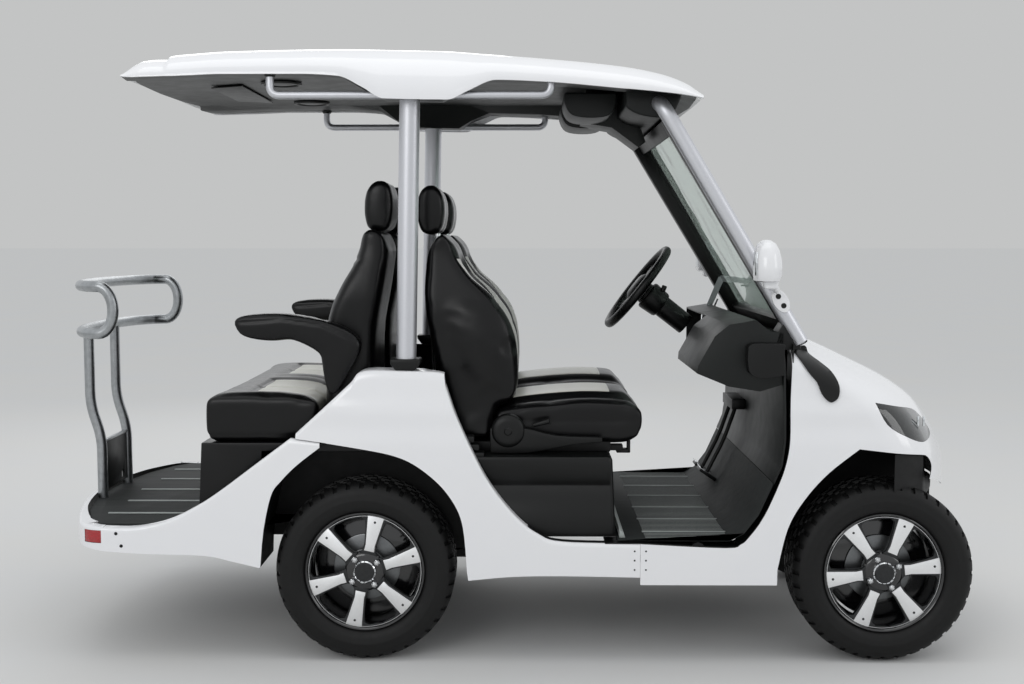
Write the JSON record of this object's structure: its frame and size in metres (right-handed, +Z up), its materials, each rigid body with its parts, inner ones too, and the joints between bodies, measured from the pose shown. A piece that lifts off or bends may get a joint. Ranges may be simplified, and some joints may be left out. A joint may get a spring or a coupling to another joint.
{
  "type": "four-seat golf cart",
  "caption": "Electric golf cart with a white body, a roof on silver tubes, forward front seats and a rear-facing bench over a foot deck",
  "frame": {"origin": "on the ground below the middle of the bounding box", "axes": "+X points forward, +Y to the cart's left, +Z up"},
  "size_m": [3.0237, 1.44, 1.974],
  "materials": {
    "white_body": "gloss white moulded panels",
    "black_plastic": "grained black moulding",
    "dark_liner": "dark charcoal lining",
    "satin_tube": "satin silver powder coat on steel tube",
    "black_vinyl": "black upholstery vinyl with cream inserts",
    "floor_mat": "dark grey ribbed mat",
    "tyre_rubber": "black tyre rubber",
    "alloy": "machined alloy with black pockets",
    "steel": "black painted steel",
    "glass": "green-tinted clear glass",
    "lamp_smoke": "smoked clear lens",
    "lamp_red": "red lens"
  },
  "bodies": {
    "chassis": {"chassis_frame": "steel", "battery_pack": "black_plastic", "front_axle": "steel", "rear_axle": "steel", "front_body": "white_body", "headlamp_left": "lamp_smoke", "headlamp_right": "lamp_smoke", "pillar_shoe_left": "black_plastic", "pillar_shoe_right": "black_plastic", "rear_quarter_left": "white_body", "rear_quarter_right": "white_body", "tail_panel": "white_body", "tail_lamp_left": "lamp_red", "tail_lamp_right": "lamp_red", "roof_shell": "white_body", "roof_liner": "dark_liner", "windscreen_frame": "black_plastic", "windscreen_glass": "glass", "front_hoop": "satin_tube", "rear_post_left": "satin_tube", "rear_post_right": "satin_tube", "roof_handle_left": "satin_tube", "roof_handle_right": "satin_tube", "floor_pan": "floor_mat", "rear_deck": "floor_mat", "dash": "dark_liner", "seat_pod": "black_plastic", "front_cushion_left": "black_vinyl", "front_cushion_right": "black_vinyl", "seat_frame_left": "black_plastic", "seat_frame_right": "black_plastic", "front_backrest_left": "black_vinyl", "front_backrest_right": "black_vinyl", "rear_seat_base": "black_vinyl", "rear_cushion": "black_vinyl", "rear_backrest_left": "black_vinyl", "rear_backrest_right": "black_vinyl", "rear_armrest_left": "black_vinyl", "rear_armrest_right": "black_vinyl", "rear_grab_bar": "satin_tube", "front_liner_left": "dark_liner", "front_liner_right": "dark_liner", "rear_liner_left": "dark_liner", "rear_liner_right": "dark_liner", "mirror_left": "white_body", "mirror_right": "white_body", "pedals": "black_plastic"},
    "knuckle_left": {"knuckle_left": "steel"},
    "knuckle_right": {"knuckle_right": "steel"},
    "tie_rod": {"tie_rod": "steel"},
    "steering_wheel": {"steering_wheel": "black_plastic"},
    "front_left_wheel": {"tyre_front_left": "tyre_rubber", "rim_front_left": "alloy"},
    "front_right_wheel": {"tyre_front_right": "tyre_rubber", "rim_front_right": "alloy"},
    "rear_left_wheel": {"tyre_rear_left": "tyre_rubber", "rim_rear_left": "alloy"},
    "rear_right_wheel": {"tyre_rear_right": "tyre_rubber", "rim_rear_right": "alloy"}
  },
  "joints": [
    {"name": "right_kingpin", "type": "hinge", "parent": "chassis", "child": "knuckle_right", "pos_m": [1.197, -0.42, 0.29], "axis": [0, 0, 1], "range_deg": [-25, 25]},
    {"name": "left_kingpin", "type": "hinge", "parent": "chassis", "child": "knuckle_left", "pos_m": [1.197, 0.42, 0.29], "axis": [0, 0, 1], "range_deg": [-25, 25]},
    {"name": "tie_rod_pin", "type": "hinge", "parent": "knuckle_right", "child": "tie_rod", "pos_m": [1.092, -0.42, 0.27], "axis": [0, 0, 1], "range_deg": [-25, 25]},
    {"name": "steering", "type": "hinge", "parent": "chassis", "child": "steering_wheel", "pos_m": [0.479, 0.27, 1.172], "axis": [-0.788, 0, 0.6157], "range_deg": [-351, 351]},
    {"name": "front_left_spin", "type": "hinge", "parent": "knuckle_left", "child": "front_left_wheel", "pos_m": [1.197, 0.49, 0.29], "axis": [0, 1, 0], "continuous": true},
    {"name": "front_right_spin", "type": "hinge", "parent": "knuckle_right", "child": "front_right_wheel", "pos_m": [1.197, -0.49, 0.29], "axis": [0, 1, 0], "continuous": true},
    {"name": "rear_left_spin", "type": "hinge", "parent": "chassis", "child": "rear_left_wheel", "pos_m": [-0.463, 0.49, 0.29], "axis": [0, 1, 0], "continuous": true},
    {"name": "rear_right_spin", "type": "hinge", "parent": "chassis", "child": "rear_right_wheel", "pos_m": [-0.463, -0.49, 0.29], "axis": [0, 1, 0], "continuous": true}
  ],
  "couplings": [
    {"joint": "left_kingpin", "follows": "right_kingpin", "ratio": 1},
    {"joint": "tie_rod_pin", "follows": "right_kingpin", "ratio": -1},
    {"joint": "steering", "follows": "right_kingpin", "ratio": 14}
  ]
}
